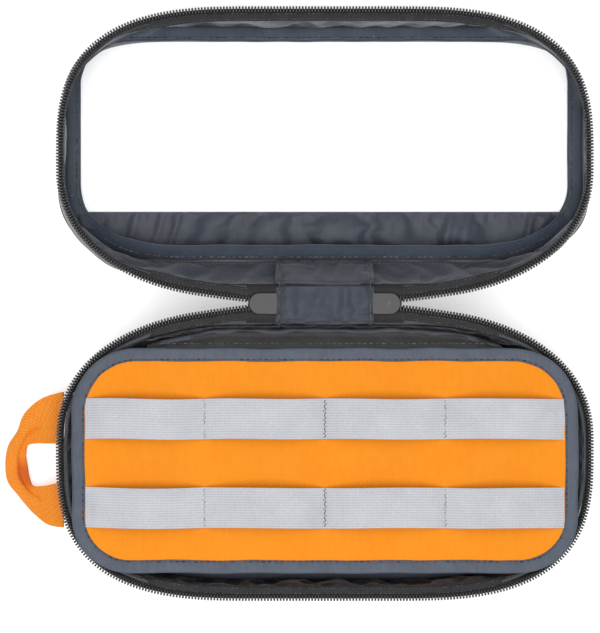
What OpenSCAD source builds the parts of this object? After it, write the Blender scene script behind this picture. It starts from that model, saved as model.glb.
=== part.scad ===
// Travel cable organizer pouch: two shallow zipped halves joined by a short fabric strip.
// It is drawn unfolded and lying open. The base is at the origin, the lid lies beyond it on +Y,
// and both rims are level, with their teeth edges at the height of the hinge line.
// Each half is drawn once in its own frame: x across, v away from the hinge line, z up.

/* [Pouch halves] */
// Half of the width over the zipper teeth
half_w = 132; // [128:1:134]
// Distance from the hinge line to the nearest teeth
rim_near = 2.5; // [2.5:0.1:3]
// Distance from the hinge line to the farthest teeth
rim_far = 146; // [144:1:148]
// Depth of one half, from the table to the hinge line
depth = 30; // [28:1:34]
// Distance from the hinge line to the near edge of the flat face, before the seam allowance
face_near = 16; // [12:1:18]

/* [Fabric and foam] */
// How far the walls stand inside the teeth edge
wall_inset = 4; // [3.8:0.1:4.2]
// Thickness of the outer fabric of the walls
outer_t = 0.6; // [0.5:0.1:0.7]
// Thickness of the foam in the base wall
wall_foam_t = 1.4; // [1.2:0.1:1.4]
// Thickness of the lining
lining_t = 0.6; // [0.5:0.1:0.6]
// Thickness of the foam board in the bottom
bottom_foam_t = 3; // [2:0.5:4]
// Width of the seam binding
binding_w = 7; // [5:0.5:8]

/* [Zipper] */
// Width of one row of coil teeth
coil_w = 2.5; // [2:0.1:2.5]
// Thickness of the coil
coil_t = 2.4; // [2:0.1:2.4]
// Thickness of the zipper tape
tape_t = 0.6; // [0.4:0.1:0.6]
// Length of a slider
slider_len = 13.5; // [12:0.5:13.5]
// Width of a slider
slider_w = 10; // [9:0.5:10]
// Length of a pull tab below its pin
pull_len = 20; // [14:1:20]

/* [Organizer panel] */
// Half of the panel's width
panel_half_w = 124.5; // [122:0.5:125]
// Distance from the hinge line to the panel's near edge
panel_near = 21.6; // [21:0.1:26]
// Distance from the hinge line to the panel's far edge
panel_far = 132.5; // [128:0.5:132.5]
// Width of an elastic band
elastic_w = 20; // [16:1:22]
// Rise of an empty elastic loop above the panel
elastic_rise = 5.6; // [5:0.2:6]
// Thickness of the elastic
elastic_t = 0.9; // [0.6:0.1:1]

/* [Handle] */
// Half of the handle's width where it meets the wall
handle_half_w = 33; // [30:1:36]
// How far the handle reaches out from the wall
handle_reach = 29; // [24:1:29]
// Thickness of the folded webbing
handle_t = 2.2; // [1.6:0.1:2.2]
// How far the handle hangs below level, in degrees
handle_droop = 15; // [10:1:16]

/* [Hidden] */

// The hinge line runs along x at this y and at the height of the depth.
hinge_y = (rim_near + rim_far) / 2;

// Heights that both halves share
bottom_t = 0.8;
tape_z = depth - 3.5;
coil_z = depth - 4.4;
floor_z = bottom_t + bottom_foam_t;

// Insets of the wall layers, from the outside in
foam_inset = wall_inset + outer_t;
base_lining_inset = foam_inset + wall_foam_t;
base_inner_inset = base_lining_inset + lining_t;
lid_inner_inset = foam_inset + lining_t;

// Gaps that keep the floor's layers clear of the wall, and where the seam bindings lie
foam_gap = 0.7;
floor_gap = 0.9;
binding_t = 1.2;
base_binding_inset = 9.2;
lid_binding_inset = 6.5;
window_t = 0.5;

// Straight middle of the rim, on each side of the centre
rim_mid = 36;
// The zipper leaves the hinge line this far from the centre.
zip_start = 38;
// The hinge strip ends this far from the centre.
strip_half = 22.5;
strip_reach = 5.9;

// Panel layers, from the bottom up
panel_z = depth - 1.75;
panel_skin = 0.3;
board_t = 0.4;
panel_front_z = panel_z + 3 * panel_skin + board_t;
panel_top_z = panel_front_z + panel_skin;
panel_near_r = 32;
panel_far_r = 29;

// Elastic loops: four bays between five sewn feet, on two bands
foot_x = [-115, -59, 0, 59, 115];
foot_w = 3;
band_v = [56.5, 100];

// One quarter of a rounded corner with half axes a and b; sx and sv pick its side.
// A power of 2 is an ellipse, and a higher one is fuller in the corner.
function corner(cx, cv, a, b, power, sx, sv, steps = 10) =
    [for (i = [0 : steps]) let (t = 90 * i / steps)
        [sx * (cx + a * pow(cos(t), 2 / power)), cv + sv * b * pow(sin(t), 2 / power)]];
function flip(points) = [for (i = [len(points) - 1 : -1 : 0]) points[i]];

// A closed outline, symmetric about x = 0, with its own near and far corners.
// near and far are [edge, corner half width, corner height, power].
function outline(w, near, far, inset) = let (
    near_a = near[1] - inset, near_b = near[2] - inset,
    far_a = far[1] - inset, far_b = far[2] - inset,
    near_cx = w - near[1], far_cx = w - far[1],
    near_cv = near[0] + near[2], far_cv = far[0] - far[2]
) concat(
    corner(far_cx, far_cv, far_a, far_b, far[3], 1, 1),
    flip(corner(far_cx, far_cv, far_a, far_b, far[3], -1, 1)),
    corner(near_cx, near_cv, near_a, near_b, near[3], -1, -1),
    flip(corner(near_cx, near_cv, near_a, near_b, near[3], 1, -1))
);
// The rim's corners are long and soft, and fuller at the far side. The face shares the far ones.
rim_corner_w = half_w - rim_mid;
near_corner_h = 64;
near_power = 2.2;
far_corner_h = 72.5;
far_power = 2.85;
face_corner_w = 60;
face_corner_h = 45;
face_power = 2.3;
function rim(inset) = outline(half_w, [rim_near, rim_corner_w, near_corner_h, near_power],
                              [rim_far, rim_corner_w, far_corner_h, far_power], inset);
function face(inset) = outline(half_w, [face_near, face_corner_w, face_corner_h, face_power],
                               [rim_far, rim_corner_w, far_corner_h, far_power], inset);
function panel(inset) = outline(panel_half_w, [panel_near, panel_near_r, panel_near_r, 2],
                                [panel_far, panel_far_r, panel_far_r, 2], inset);
// The clear window, and the opening for it in the face fabric, which is rounder in its far corners
window_inset = wall_inset + binding_w + 0.5;
window_near = 46;
window_corner = window_inset + 10;
window_power = 3;
opening_power = 2.4;
window_margin = 4;
function window(inset, power = far_power) =
    outline(half_w, [window_near - window_inset, window_corner, window_corner, window_power],
            [rim_far, rim_corner_w, far_corner_h, power], inset);

// Places one half's own frame in the frame of the pouch.
module as_base() { translate([0, hinge_y, 0]) mirror([0, 1, 0]) children(); }
module as_lid() { translate([0, hinge_y, 0]) children(); }

module plate(points, z, t) { translate([0, 0, z]) linear_extrude(t) polygon(points); }
module ring(outer, inner, z, t) {
    translate([0, 0, z]) linear_extrude(t) difference() { polygon(outer); polygon(inner); }
}

// One level of a half's side surface: the rim's outline at the top, the face's at the table.
function level(inset, z) = let (low = face(inset), high = rim(inset), up = z / depth)
    [for (i = [0 : len(low) - 1]) [
        low[i][0] + up * (high[i][0] - low[i][0]), low[i][1] + up * (high[i][1] - low[i][1]), z]];

// One layer of a wall, between two side surfaces. Layers that touch share their points.
module wall_layer(outer, inner, z, top) {
    n = len(face(0));
    corners = [level(outer, z), level(outer, top), level(inner, top), level(inner, z)];
    sides = [for (side = [0 : 3]) for (i = [0 : n - 1])
        let (a = side * n, b = ((side + 1) % 4) * n, j = (i + 1) % n, low_first = side < 2)
        each low_first ? [[a + i, b + i, b + j], [a + i, b + j, a + j]]
                       : [[b + i, b + j, a + j], [b + i, a + j, a + i]]];
    polyhedron(concat(corners[0], corners[1], corners[2], corners[3]), sides);
}
// A ring round the rim that is left open where the hinge strip and the sliders are.
module rim_ring(outer, inner, z, t) {
    difference() {
        ring(rim(outer), rim(inner), z, t);
        translate([-zip_start, 0, z - 1]) cube([2 * zip_start, 16, t + 2]);
    }
}

// ---- Base ----
module base_bottom_fabric() { color("#33363b") as_base() plate(face(wall_inset), 0, bottom_t); }
module base_bottom_foam() {
    color("#c9c9c4") as_base() plate(face(base_inner_inset + foam_gap), bottom_t, bottom_foam_t);
}
module base_floor_lining() {
    color("#f7931e") as_base() plate(face(base_inner_inset + floor_gap), floor_z, lining_t);
}
module base_wall_fabric() {
    color("#3d4046") as_base() wall_layer(wall_inset, foam_inset, bottom_t, tape_z);
}
module base_wall_foam() {
    color("#b8b8b2") as_base() wall_layer(foam_inset, base_lining_inset, bottom_t, tape_z);
}
module base_wall_lining() {
    color("#22242a")
        as_base() wall_layer(base_lining_inset, base_inner_inset, bottom_t, tape_z);
}
module base_seam_binding() {
    color("#565c68") as_base() translate([0, 0, floor_z + lining_t])
        linear_extrude(binding_t)
        difference() {
            polygon(face(base_binding_inset));
            polygon(face(base_binding_inset + binding_w));
        }
}
module base_zip_tape() {
    color("#2f2b2a") as_base() rim_ring(coil_w, base_inner_inset, tape_z, tape_t);
}
module base_zip_coil() { color("#1b1a1c") as_base() rim_ring(0, coil_w, coil_z, coil_t); }
module panel_hinge_flap() {
    // A strip of lining that ties the panel's near edge to the base.
    flap_v = rim_near + base_inner_inset + 2.5;
    color("#2b2a2e") as_base()
        translate([-80, flap_v, panel_z + 0.1]) cube([160, panel_near - 1.3 - flap_v, 0.6]);
}

// ---- Hinge strip, with the zipper ends that it carries ----
module strip_layer(z, t) {
    translate([-strip_half, hinge_y - strip_reach, z]) cube([2 * strip_half, 2 * strip_reach, t]);
}
module hinge_strip_fabric() { color("#3d4046") strip_layer(depth - 3.6, 0.8); }
module hinge_strip_lining() { color("#565c68") strip_layer(depth - 2.8, lining_t); }
module at_both_ends() {
    translate([0, hinge_y, 0]) {
        children();
        mirror([1, 0, 0]) children();
    }
}
end_x = strip_half + 0.5;
module zip_end_tapes() {
    color("#2f2b2a") at_both_ends() for (y = [-5, 1.5])
        translate([end_x, y, tape_z]) cube([zip_start - 0.4 - end_x, 3.5, tape_t]);
}
module zip_end_coils() {
    color("#1b1a1c") at_both_ends() difference() {
        translate([end_x + 2, -2.4, coil_z]) cube([7.5, 4.8, coil_t]);
        for (y = [-5, 1.5])
            translate([end_x, y, tape_z]) cube([zip_start - 0.4 - end_x, 3.5, tape_t]);
    }
}
module zip_end_stops() {
    color("#8a8f9b") at_both_ends() for (x = [0.1, 1])
        translate([end_x + x, -2.6, tape_z + tape_t]) cube([0.7, 5.2, 0.6]);
}

// ---- Lid ----
module lid_face_fabric() {
    color("#3d4046") as_lid() ring(face(wall_inset), window(window_inset, opening_power), 0, bottom_t);
}
module lid_window() {
    color("#dfe8ee", 0.35) as_lid() plate(window(window_inset - window_margin), bottom_t, window_t);
}
module lid_strip_lining() {
    color("#5c616d") as_lid() difference() {
        plate(face(lid_inner_inset + 0.2), bottom_t, lining_t);
        translate([-half_w, window_near - window_margin - 0.2, 0])
            cube([2 * half_w, rim_far, window_margin]);
    }
}
module lid_wall_fabric() {
    color("#3d4046") as_lid() wall_layer(wall_inset, foam_inset, bottom_t, tape_z);
}
module lid_wall_lining() {
    color("#5c616d") as_lid() wall_layer(foam_inset, lid_inner_inset, bottom_t, tape_z);
}
module lid_seam_binding() {
    binding_z = bottom_t + lining_t;
    color("#565c68") as_lid()
        ring(face(lid_binding_inset), face(lid_binding_inset + binding_w), binding_z, binding_t);
}
module lid_zip_tape() {
    color("#2f2b2a") as_lid() rim_ring(coil_w, lid_inner_inset, tape_z, tape_t);
}
module lid_zip_coil() { color("#1b1a1c") as_lid() rim_ring(0, coil_w, coil_z, coil_t); }

// ---- Organizer panel ----
module panel_back_fabric() {
    color("#565c68") as_base() plate(panel(1), panel_z + panel_skin, panel_skin);
}
module panel_board() {
    color("#d8d4c8") as_base() plate(panel(1), panel_z + 2 * panel_skin, board_t);
}
module panel_front_fabric() {
    color("#f7931e")
        as_base() plate(panel(1), panel_z + 2 * panel_skin + board_t, panel_skin);
}
module panel_binding() {
    // Folded tape round the panel's edge, with the three layers in its fold.
    color("#565c68") as_base() difference() {
        ring(panel(0), panel(binding_w), panel_z, panel_top_z - panel_z);
        plate(panel(1), panel_z + panel_skin, 2 * panel_skin + board_t);
    }
}
module elastic_arch(from, to) {
    chord = to - from - foot_w;
    radius = (pow(chord / 2, 2) + pow(elastic_rise, 2)) / (2 * elastic_rise);
    intersection() {
        translate([from + foot_w / 2 - 0.2, 0]) square([chord + 0.4, elastic_rise + elastic_t]);
        translate([(from + to) / 2, elastic_rise - radius]) difference() {
            circle(radius + elastic_t, $fn = 96);
            circle(radius, $fn = 96);
        }
    }
}
module elastic_band(v) {
    as_base() translate([0, v + elastic_w / 2, panel_front_z]) rotate([90, 0, 0])
        linear_extrude(elastic_w) {
            for (x = foot_x) translate([x - foot_w / 2, 0]) square([foot_w, elastic_t]);
            for (i = [0 : len(foot_x) - 2]) elastic_arch(foot_x[i], foot_x[i + 1]);
        }
}
module upper_elastic_band() { color("#cdd0d6") elastic_band(band_v[0]); }
module lower_elastic_band() { color("#cdd0d6") elastic_band(band_v[1]); }

// ---- Zipper sliders and their pull tabs, drawn for the right-hand side ----
slider_x = 23.5;
plate_t = 1;
channel_t = 2.9;
back_plate_z = depth - 1.75;
front_plate_z = back_plate_z - channel_t - plate_t;
pin_x = slider_x + 7;
pin_z = front_plate_z - 1.75;
pin_r = 0.62;
lug_gap = 3.4;
module slider_plate(z) {
    nose = slider_w / 2;
    translate([0, 0, z]) linear_extrude(plate_t) {
        translate([slider_x, -nose]) square([slider_len - nose, slider_w]);
        translate([slider_x + slider_len - nose, 0]) circle(nose, $fn = 64);
    }
}
module slider() {
    slider_plate(back_plate_z);
    slider_plate(front_plate_z);
    // The wedge that parts the two rows of teeth
    translate([slider_x + slider_len - 2.4, 0, front_plate_z + plate_t / 2])
        cylinder(h = channel_t + plate_t, r = 1.2, $fn = 48);
    // The two lugs and the pin that hold the pull tab
    for (side = [-1, 1]) translate([pin_x - 2, side * (lug_gap + 1) / 2 - 0.5, pin_z - 0.9])
        cube([4, 1, front_plate_z + 0.5 - pin_z + 0.9]);
    translate([pin_x, lug_gap / 2 + 0.5, pin_z]) rotate([90, 0, 0])
        cylinder(h = lug_gap + 1, r = pin_r, $fn = 48);
}
module pull_tab() {
    tab_w = 7;
    eye_w = lug_gap - 0.4;
    difference() {
        union() {
            translate([pin_x, eye_w / 2, pin_z]) rotate([90, 0, 0])
                cylinder(h = eye_w, r = 1.3, $fn = 48);
            translate([pin_x - 0.6, -eye_w / 2, pin_z - 4]) cube([1.2, eye_w, 3.6]);
            translate([pin_x - 0.6, 0, pin_z]) rotate([90, 0, 90]) linear_extrude(1.2)
                difference() {
                    union() {
                        translate([-tab_w / 2, 3.5 - pull_len])
                            square([tab_w, pull_len - 7]);
                        translate([0, 3.5 - pull_len]) circle(tab_w / 2, $fn = 64);
                    }
                    translate([0, 4 - pull_len]) circle(1.6, $fn = 48);
                }
        }
        translate([pin_x, eye_w, pin_z]) rotate([90, 0, 0])
            cylinder(h = 2 * eye_w, r = pin_r + 0.06, $fn = 48);
    }
}
module on_left() { translate([0, hinge_y, 0]) mirror([1, 0, 0]) children(); }
module on_right() { translate([0, hinge_y, 0]) children(); }
module left_slider() { color("#5f6066") on_left() slider(); }
module right_slider() { color("#5f6066") on_right() slider(); }
module left_pull_tab() { color("#5f6066") on_left() pull_tab(); }
module right_pull_tab() { color("#5f6066") on_right() pull_tab(); }

// ---- Handle on the left wall ----
handle_v = 77.5;
handle_x = -half_w + wall_inset - 0.3;
handle_z = 10;
handle_root = 2.2;
module handle_webbing() {
    grip_w = 11.5;
    opening_half = 12.5;
    color("#f7931e") translate([handle_x, hinge_y - handle_v, handle_z])
        rotate([0, -handle_droop, 0]) translate([0, 0, -handle_t / 2])
        linear_extrude(handle_t) rotate(90) difference() {
            polygon(concat(corner(0, 0, handle_half_w, handle_reach, 1.6, 1, 1),
                           flip(corner(0, 0, handle_half_w, handle_reach, 1.6, -1, 1))));
            polygon(concat(corner(0, -1, opening_half, handle_reach + 1 - grip_w, 4, 1, 1),
                           flip(corner(0, -1, opening_half, handle_reach + 1 - grip_w, 4, -1, 1))));
            translate([-handle_half_w - 1, -1]) square([2 * handle_half_w + 2, handle_root + 1]);
        }
}

base_bottom_fabric();
base_bottom_foam();
base_floor_lining();
base_wall_fabric();
base_wall_foam();
base_wall_lining();
base_seam_binding();
base_zip_tape();
base_zip_coil();
panel_hinge_flap();
hinge_strip_fabric();
hinge_strip_lining();
zip_end_tapes();
zip_end_coils();
zip_end_stops();
lid_face_fabric();
lid_window();
lid_strip_lining();
lid_wall_fabric();
lid_wall_lining();
lid_seam_binding();
lid_zip_tape();
lid_zip_coil();
panel_board();
panel_front_fabric();
panel_back_fabric();
panel_binding();
upper_elastic_band();
lower_elastic_band();
left_slider();
right_slider();
left_pull_tab();
right_pull_tab();
handle_webbing();
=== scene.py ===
# %% [markdown]
# # A zipped cable pouch, dressed in cloth
# The pouch is two shallow trays of fabric, joined by a short strip and closed by one zipper with two
# sliders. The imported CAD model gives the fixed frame, in metres. Everything soft is built here round
# that frame: each piece is drawn in millimetres on the same outlines and scaled once, at the end.

import math

import bpy
import numpy as np
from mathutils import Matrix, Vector


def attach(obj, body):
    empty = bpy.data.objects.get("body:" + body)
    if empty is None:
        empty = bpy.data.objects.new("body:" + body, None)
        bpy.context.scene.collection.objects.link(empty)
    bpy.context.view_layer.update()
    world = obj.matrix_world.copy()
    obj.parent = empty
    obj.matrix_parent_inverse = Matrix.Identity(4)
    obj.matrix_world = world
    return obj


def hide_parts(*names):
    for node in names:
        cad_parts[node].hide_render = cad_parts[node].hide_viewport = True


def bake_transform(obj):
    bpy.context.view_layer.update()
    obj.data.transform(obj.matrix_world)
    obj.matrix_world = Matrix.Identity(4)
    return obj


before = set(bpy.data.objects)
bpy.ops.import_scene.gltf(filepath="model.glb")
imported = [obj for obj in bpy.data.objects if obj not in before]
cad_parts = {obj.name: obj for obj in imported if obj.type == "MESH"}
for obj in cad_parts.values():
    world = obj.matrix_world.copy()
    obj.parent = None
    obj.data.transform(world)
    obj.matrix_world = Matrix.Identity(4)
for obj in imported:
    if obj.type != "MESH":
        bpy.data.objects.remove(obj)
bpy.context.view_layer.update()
scene = bpy.context.scene

# %% [markdown]
# ## The pattern pieces
# A pattern cutter starts from outlines. Both trays share one rim outline, where the zipper runs, and
# one face outline, where the flat side is sewn on. The face starts farther from the hinge, so the
# wall beside the hinge slopes. Each outline is a rounded rectangle whose corners are parts of
# superellipses: a power of 2 is an ellipse, and a higher power is fuller in the corner.

# %% Outlines
MM = 0.001
HINGE_Y = 74.25
HALF_W = 132.0
TRAY_DEPTH = 30
RIM_NEAR = [2.5, 96, 64, 2.2]
RIM_FAR = [146, 96, 72.5, 2.85]
FACE_NEAR = [16, 60, 45, 2.3]
WINDOW_NEAR = [32.5, 15.5, 15.5, 6]
LID_HALF_W = 137.6
FRAME_HALF_W = 136.4
PANEL_HALF_W = 124.5
PANEL_NEAR = [21.6, 32, 32, 2]
PANEL_FAR = [132.5, 29, 29, 2]
ZIP_START = 38.0


def outline(half_w, near, far, inset):
    """Points (x, v) round a tray, anticlockwise from the middle of its near edge; v runs from the hinge."""
    quarter = np.radians(np.linspace(0, 90, 64))

    def arc(edge, a, b, power, side):
        x = half_w - a + (a - inset) * np.cos(quarter) ** (2 / power)
        v = edge - side * b + side * (b - inset) * np.sin(quarter) ** (2 / power)
        return np.column_stack([x, v])

    near_arc, far_arc = arc(*near, -1)[::-1], arc(*far, 1)

    def straight(a, b):
        return a + (b - a) * np.linspace(0, 1, 20)[1:-1, None]

    start, end = np.array([0, near_arc[0, 1]]), np.array([0, far_arc[-1, 1]])
    right = np.vstack([start[None], straight(start, near_arc[0]), near_arc,
                       straight(near_arc[-1], far_arc[0]),
                       far_arc, straight(far_arc[-1], end), end[None]])
    left = right[-2:0:-1] * [-1, 1]
    return np.vstack([right, left])


SHAPES = {
    "rim": (HALF_W, RIM_NEAR, RIM_FAR),
    "face": (HALF_W, FACE_NEAR, RIM_FAR),
    "lid_outer": (LID_HALF_W, [16, 65.6, 43, 2.4], [146, 80, 61, 2.45]),
    "lid_seam": (LID_HALF_W, [16, 65.6, 45, 2.3], [146, 64, 48, 2.5]),
    "lid_binding": (FRAME_HALF_W, [16, 65.6, 45, 2.3], [146, 42, 36, 2.4]),
    "window": (FRAME_HALF_W, WINDOW_NEAR, [146, 50, 36, 2.5]),
    "opening": (FRAME_HALF_W, WINDOW_NEAR, [146, 60, 31, 2.5]),
    "panel": (PANEL_HALF_W, PANEL_NEAR, PANEL_FAR),
}


def even_steps(shape, count):
    """Places for count points at even distances round a shape; pieces sewn together share them."""
    ring = outline(*SHAPES[shape], 0)
    gaps = np.linalg.norm(np.roll(ring, -1, 0) - ring, axis=1)
    along = np.concatenate([[0], np.cumsum(gaps)])
    return np.interp(np.linspace(0, along[-1], count, endpoint=False), along,
                     np.arange(len(ring) + 1)), along[-1]


def trace(shape, inset, steps):
    """The outline at those places, moved inward by inset."""
    ring = outline(*SHAPES[shape], inset)
    ring = np.vstack([ring, ring[:1]])
    index = np.arange(len(ring))
    return np.column_stack([np.interp(steps, index, ring[:, k]) for k in (0, 1)])


WALL_COLUMNS = 400
WALL_STEPS, RIM_LENGTH = even_steps("rim", WALL_COLUMNS)
print(f"the zipper runs {RIM_LENGTH:.0f} mm round each tray")

# %% [markdown]
# ## From points to cloth
# A sheet of cloth is a grid of points. Its UV map is in millimetres of cloth, so that a weave drawn on
# it keeps one size on every piece and turns with the piece. Uneven, hand-made edges come from a sum
# of a few slow waves with seeded directions, which gives the same cloth every time.


# %% Grids
def into_frame(points, half):
    """Points (x, v, z) in millimetres of a tray, as points of the frame in metres."""
    side = -1 if half == "base" else 1
    out = np.array(points, float)
    out[..., 1] = HINGE_Y + side * out[..., 1]
    return out * MM


def add_piece(name, points, faces, uv=None):
    """A mesh object from frame points and faces, with an optional UV pair for each face corner."""
    mesh = bpy.data.meshes.new(name)
    mesh.from_pydata(points.tolist(), [], faces)
    if uv is not None:
        mesh.uv_layers.new(name="cloth").data.foreach_set("uv", np.asarray(uv, np.float32).ravel())
    mesh.polygons.foreach_set("use_smooth", [True] * len(mesh.polygons))
    mesh.update()
    obj = bpy.data.objects.new(name, mesh)
    scene.collection.objects.link(obj)
    return obj


def grid(name, points, half="lid", loop=False, tube=False, planar=False):
    """A grid of rows x columns x (x, v, z). loop joins its end columns, and tube joins its end rows."""
    points = np.asarray(points, float)
    rows, cols = points.shape[:2]
    r, c = np.meshgrid(np.arange(rows if tube else rows - 1), np.arange(cols if loop else cols - 1),
                       indexing="ij")
    r, c = r.ravel(), c.ravel()
    r2, c2 = (r + 1) % rows, (c + 1) % cols
    corner_rc = [(r, c), (r, c2), (r2, c2), (r2, c)]
    ends_rc = [(r, c), (r, c + 1), (r + 1, c + 1), (r + 1, c)]
    if half == "base":
        corner_rc, ends_rc = corner_rc[::-1], ends_rc[::-1]
    faces = np.stack([a * cols + b for a, b in corner_rc], 1)
    if planar:
        uv = points.reshape(-1, 3)[faces][..., :2]
    else:
        across = np.linalg.norm(np.roll(points, -1, 0) - points, axis=2).mean(1)
        along = np.linalg.norm(np.roll(points, -1, 1) - points, axis=2).mean(0)
        u, w = np.concatenate([[0], np.cumsum(along)]), np.concatenate([[0], np.cumsum(across)])
        uv = np.stack([np.stack([u[b], w[a]], -1) for a, b in ends_rc], 1)
    return add_piece(name, into_frame(points.reshape(-1, 3), half), faces.tolist(), uv)


WAVE_COUNT = 7


def with_z(places, z):
    """Points (x, v) with a height, one for all or one each."""
    return np.column_stack([places, np.broadcast_to(z, len(places))])


def waves(points, size, seed):
    """A smooth seeded unevenness from -1 to 1 over points, with bumps of about that size in millimetres."""
    rng = np.random.default_rng(seed)
    flat = np.asarray(points, float)
    total = np.zeros(flat.shape[:-1])
    for _ in range(WAVE_COUNT):
        direction = rng.normal(size=flat.shape[-1])
        direction *= 2 * math.pi / (size * rng.uniform(0.7, 1.6)) / np.linalg.norm(direction)
        total += np.sin(flat @ direction + rng.uniform(0, 6.28))
    return total / math.sqrt(WAVE_COUNT * 2)


def rings(profile, shape="rim", steps=WALL_STEPS, wobble=0.0, seed=1):
    """Rows round a tray for a profile of (inset, z) pairs; wobble moves them in and out together."""
    rows = []
    drift = wobble * waves(trace(shape, 0, steps), 26, seed)
    for inset, z in profile:
        ring = trace(shape, inset, steps)
        inward = trace(shape, inset + 1, steps) - ring
        rows.append(with_z(ring + inward * drift[:, None], z))
    return np.array(rows)


def wall_rows(inset, low, top, count, bulge=None, seam="face"):
    """Rows of a tray's wall from z = low to z = top, between the face's seam and the rim."""
    rows = []
    for z in np.linspace(low, top, count):
        up = z / TRAY_DEPTH
        ring = (1 - up) * trace(seam, inset, WALL_STEPS) + up * trace("rim", inset, WALL_STEPS)
        if bulge is not None:
            within = (1 - up) * trace(seam, inset + 1, WALL_STEPS) + up * trace("rim", inset + 1, WALL_STEPS)
            ring = ring + (ring - within) * bulge(ring, (z - low) / (top - low))[:, None]
        rows.append(with_z(ring, z))
    return np.array(rows)


def lying(x):
    """How flat the zipper tape lies: 1 in the middle of an edge, and little at the corners and sides."""
    step = np.clip((np.abs(x) - 76) / 30, 0, 1)
    return 1 - 0.86 * step * step * (3 - 2 * step)


def thicken(obj, thickness, offset=-1):
    """Gives a sheet its real thickness, with a closed rim."""
    solid = obj.modifiers.new("thickness", "SOLIDIFY")
    solid.thickness, solid.offset = thickness * MM, offset
    return obj


def refine(obj):
    """Rounds a grid's facets."""
    sub = obj.modifiers.new("rounding", "SUBSURF")
    sub.levels = sub.render_levels = 1
    return obj


# %% [markdown]
# ## Many small things at once
# Teeth and stitches are the same little shape hundreds of times. Drawing one shape and copying it with
# numpy to every place along a seam keeps them as real geometry and costs almost nothing.


# %% Copies along a seam
TURN = 2 * math.pi


def round_turn(count):
    """That many angles round a circle."""
    return np.linspace(0, TURN, count + 1)[:-1]


def seam_axes(path, loop=False):
    """Unit vectors along and across a path of points, lying in the plane of the table."""
    nxt, before = np.roll(path, -1, 0), np.roll(path, 1, 0)
    if not loop:
        nxt[-1], before[0] = path[-1], path[0]
    along = nxt - before
    along /= np.linalg.norm(along, axis=1, keepdims=True) + 1e-12
    across = np.cross([0, 0, 1.0], along)
    across /= np.linalg.norm(across, axis=1, keepdims=True) + 1e-12
    return along, across, np.cross(along, across)


def copies(name, shape, faces, places, along, across, up, half="lid"):
    """One mesh with the shape copied to every place; the shape's x, y and z go along, across and up."""
    shape = np.asarray(shape, float)
    points = (places[:, None] + shape[None, :, :1] * along[:, None] + shape[None, :, 1:2] * across[:, None]
              + shape[None, :, 2:] * up[:, None])
    step = np.arange(len(places)) * len(shape)
    all_faces = [[i + s for i in f] for s in step.tolist() for f in faces]
    return add_piece(name, into_frame(points.reshape(-1, 3), half), all_faces)


def loft(rings_list):
    """Points and faces of a closed form through rings of equal length."""
    count = len(rings_list[0])
    points = np.vstack(rings_list)
    faces = []
    for r in range(len(rings_list) - 1):
        a, b = r * count, (r + 1) * count
        faces += [[a + i, a + (i + 1) % count, b + (i + 1) % count, b + i] for i in range(count)]
    faces += [list(range(count))[::-1], [len(points) - count + i for i in range(count)]]
    return points, faces


def stitch_shape(length, width, height):
    """One stitch: a short thread that rises out of the cloth and dips back in."""
    turn = round_turn(6)
    out = []
    for place, size in [(-0.5, 0.25), (-0.38, 0.8), (0, 1), (0.38, 0.8), (0.5, 0.25)]:
        lift = height * (0.55 - 1.6 * place * place)
        out.append(np.column_stack([np.full(6, place * length), size * width / 2 * np.cos(turn),
                                    lift + size * height / 2 * np.sin(turn)]))
    return loft(out)


def walk(path, pitch, loop=False):
    """Points at an even pitch along a path."""
    line = np.vstack([path, path[:1]]) if loop else np.asarray(path, float)
    along = np.concatenate([[0], np.cumsum(np.linalg.norm(np.diff(line, axis=0), axis=1))])
    count = max(2, int(along[-1] / pitch))
    at = (np.arange(count) + 0.5) * along[-1] / count
    return np.column_stack([np.interp(at, along, line[:, k]) for k in range(3)])


def stitch_row(name, path, half="lid", pitch=3.0, length=2.2, width=0.65, height=0.4, loop=False):
    """A row of lockstitch along a path."""
    spots = walk(path, pitch, loop)
    shape, faces = stitch_shape(length, width, height)
    return copies(name, shape, faces, spots, *seam_axes(spots, loop), half=half)


# %% [markdown]
# ## Shader maths in Python
# A fabric's colour is arithmetic on its thread pattern. Wrapping a node's socket in a small class lets
# that arithmetic be written as Python expressions, each of which adds a Math node.


# %% The wire and the finish
class Wire:
    """A socket's value in a finish that is being made."""

    def __init__(self, finish, socket):
        self.finish, self.socket = finish, socket

    def maths(self, operation, *values):
        return self.finish.node("ShaderNodeMath", {"operation": operation}, dict(enumerate(values)))

    def __add__(self, other):
        return self.maths("ADD", self, other)

    def __sub__(self, other):
        return self.maths("SUBTRACT", self, other)

    def __rsub__(self, other):
        return self.maths("SUBTRACT", other, self)

    def __mul__(self, other):
        return self.maths("MULTIPLY", self, other)

    def __truediv__(self, other):
        return self.maths("DIVIDE", self, other)

    def __gt__(self, other):
        return self.maths("GREATER_THAN", self, other)

    __radd__, __rmul__ = __add__, __mul__

    def sine(self):
        return self.maths("SINE", self)

    def clipped(self):
        return self.maths("MINIMUM", self.maths("MAXIMUM", self, 0.0), 1.0)


def srgb(r, g, b):
    """A paint colour from 0 to 255 as the linear values that a shader takes."""
    return tuple((c / 255 / 12.92 if c <= 10 else ((c / 255 + 0.055) / 1.055) ** 2.4)
                 for c in (r, g, b)) + (1.0,)


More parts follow.
